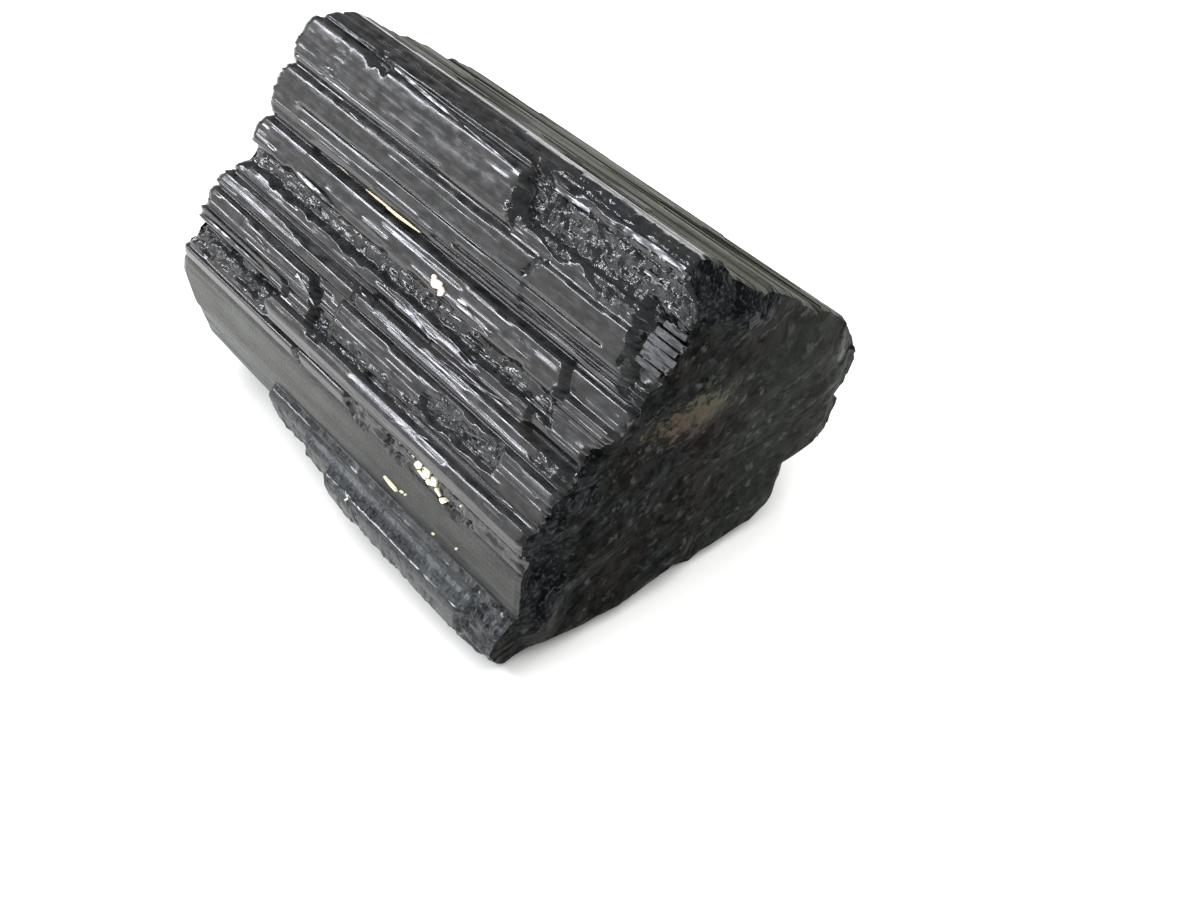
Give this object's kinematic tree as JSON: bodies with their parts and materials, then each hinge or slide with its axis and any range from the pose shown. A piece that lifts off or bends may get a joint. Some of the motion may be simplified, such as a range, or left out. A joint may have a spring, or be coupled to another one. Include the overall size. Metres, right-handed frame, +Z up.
{
  "type": "tourmaline crystal",
  "caption": "Broken length of a black tourmaline prism with ribbed, striated faces, lying on its underside.",
  "frame": {"origin": "middle of the bounding box's floor, on the surface that the crystal lies on", "axes": "+X along the prism towards the broken end that faces the viewer, +Y from the smooth left wall towards the right edge, +Z up"},
  "size_m": [0.0396, 0.0306, 0.0258],
  "materials": {
    "schorl": "glassy striated faces, dull breaks"
  },
  "bodies": {
    "root": {"tourmaline_crystal": "schorl"}
  },
  "joints": []
}
